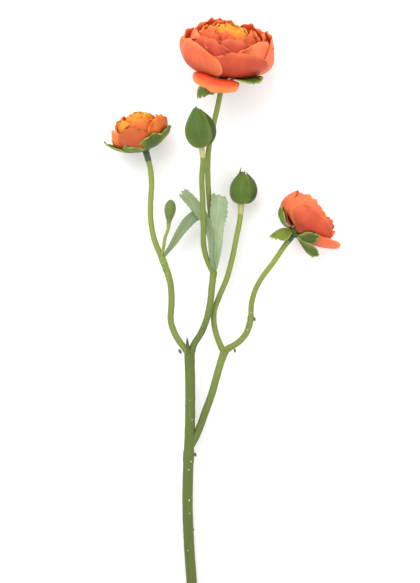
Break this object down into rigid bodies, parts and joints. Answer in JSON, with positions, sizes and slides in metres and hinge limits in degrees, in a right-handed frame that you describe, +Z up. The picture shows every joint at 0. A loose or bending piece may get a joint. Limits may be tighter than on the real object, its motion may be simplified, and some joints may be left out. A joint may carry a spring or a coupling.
{
  "type": "ranunculus flower",
  "caption": "Branching cut spray of orange ranunculus with open flowers, green buds and toothed leaf blades, lying down.",
  "frame": {"origin": "middle of the lowest face of the bounding box, on the surface the spray lies on", "axes": "+Y along the stem from the cut end towards the flowers, +Z up off the surface, +X to the right looking down with the flowers ahead"},
  "size_m": [0.1658, 0.4246, 0.0615],
  "materials": {
    "main_stem": "dull olive green skin, faintly ribbed",
    "stalk": "light yellow-green skin, satin",
    "leaf": "pale sage green, matte, greyish toothed edge",
    "sepal": "green with pale margins, matte",
    "bud": "dark green with lighter sepal edges, satin",
    "petal": "coral orange, paler at the rim, matte and finely veined",
    "heart": "yellow-orange folded petals, matte"
  },
  "bodies": {
    "root": {"centre_stem": "stalk", "large_bud_core": "bud", "large_bud_sepal_1": "bud", "large_bud_sepal_2": "bud", "large_bud_sepal_3": "bud", "large_bud_stalk": "stalk", "leaf_left": "leaf", "leaf_middle": "leaf", "leaf_right": "leaf", "left_flower_heart": "heart", "left_flower_petal_1": "petal", "left_flower_petal_2": "petal", "left_flower_petal_3": "petal", "left_flower_petal_4": "petal", "left_flower_petal_5": "petal", "left_flower_sepal_1": "sepal", "left_flower_sepal_2": "sepal", "left_flower_sepal_3": "sepal", "left_flower_sepal_4": "sepal", "left_flower_sepal_5": "sepal", "left_flower_stalk": "stalk", "main_stem": "main_stem", "right_branch_stem": "stalk", "right_bud_core": "bud", "right_bud_sepal_1": "bud", "right_bud_sepal_2": "bud", "right_bud_sepal_3": "bud", "right_bud_stalk": "stalk", "right_flower_heart": "heart", "right_flower_lip_petal": "petal", "right_flower_petal_1": "petal", "right_flower_petal_2": "petal", "right_flower_petal_3": "petal", "right_flower_petal_4": "petal", "right_flower_sepal_1": "sepal", "right_flower_sepal_2": "sepal", "right_flower_sepal_3": "sepal", "right_flower_sepal_4": "sepal", "right_flower_sepal_5": "sepal", "right_flower_stalk": "stalk", "small_bud": "bud", "small_bud_stalk": "stalk", "top_flower_heart": "heart", "top_flower_lip_petal": "petal", "top_flower_petal_1": "petal", "top_flower_petal_2": "petal", "top_flower_petal_3": "petal", "top_flower_petal_4": "petal", "top_flower_petal_5": "petal", "top_flower_petal_6": "petal", "top_flower_petal_7": "petal", "top_flower_petal_8": "petal", "top_flower_petal_9": "petal", "top_flower_sepal_1": "sepal", "top_flower_sepal_2": "sepal", "top_flower_sepal_3": "sepal", "top_flower_sepal_4": "sepal", "top_flower_sepal_5": "sepal", "top_flower_stalk": "stalk"}
  },
  "joints": []
}
